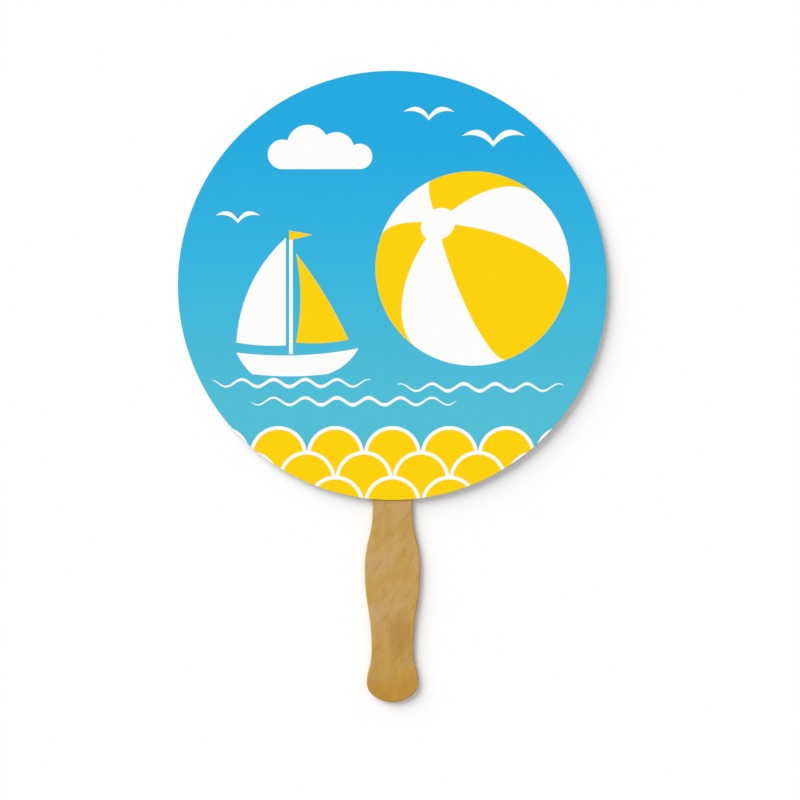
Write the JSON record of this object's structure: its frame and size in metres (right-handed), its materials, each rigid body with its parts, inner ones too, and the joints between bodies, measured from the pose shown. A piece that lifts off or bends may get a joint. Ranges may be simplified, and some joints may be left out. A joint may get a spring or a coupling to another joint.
{
  "type": "hand fan",
  "caption": "Flat round hand fan: a printed card disc backed by a thinner card, with a shaped wooden stick glued between them.",
  "frame": {"origin": "below the disc's centre, on the surface that the fan lies on", "axes": "+Z out of the printed face, +Y from the handle's end towards the disc, +X to the right seen from the front"},
  "size_m": [0.2032, 0.2989, 0.0035],
  "materials": {
    "printed_card": "satin",
    "lining_card": "matte",
    "birch": "satin",
    "adhesive": "matte"
  },
  "bodies": {
    "root": {"front_card": "printed_card", "card_adhesive": "adhesive", "back_card": "lining_card", "tongue_adhesive_front": "adhesive", "tongue_adhesive_back": "adhesive", "handle": "birch"}
  },
  "joints": []
}
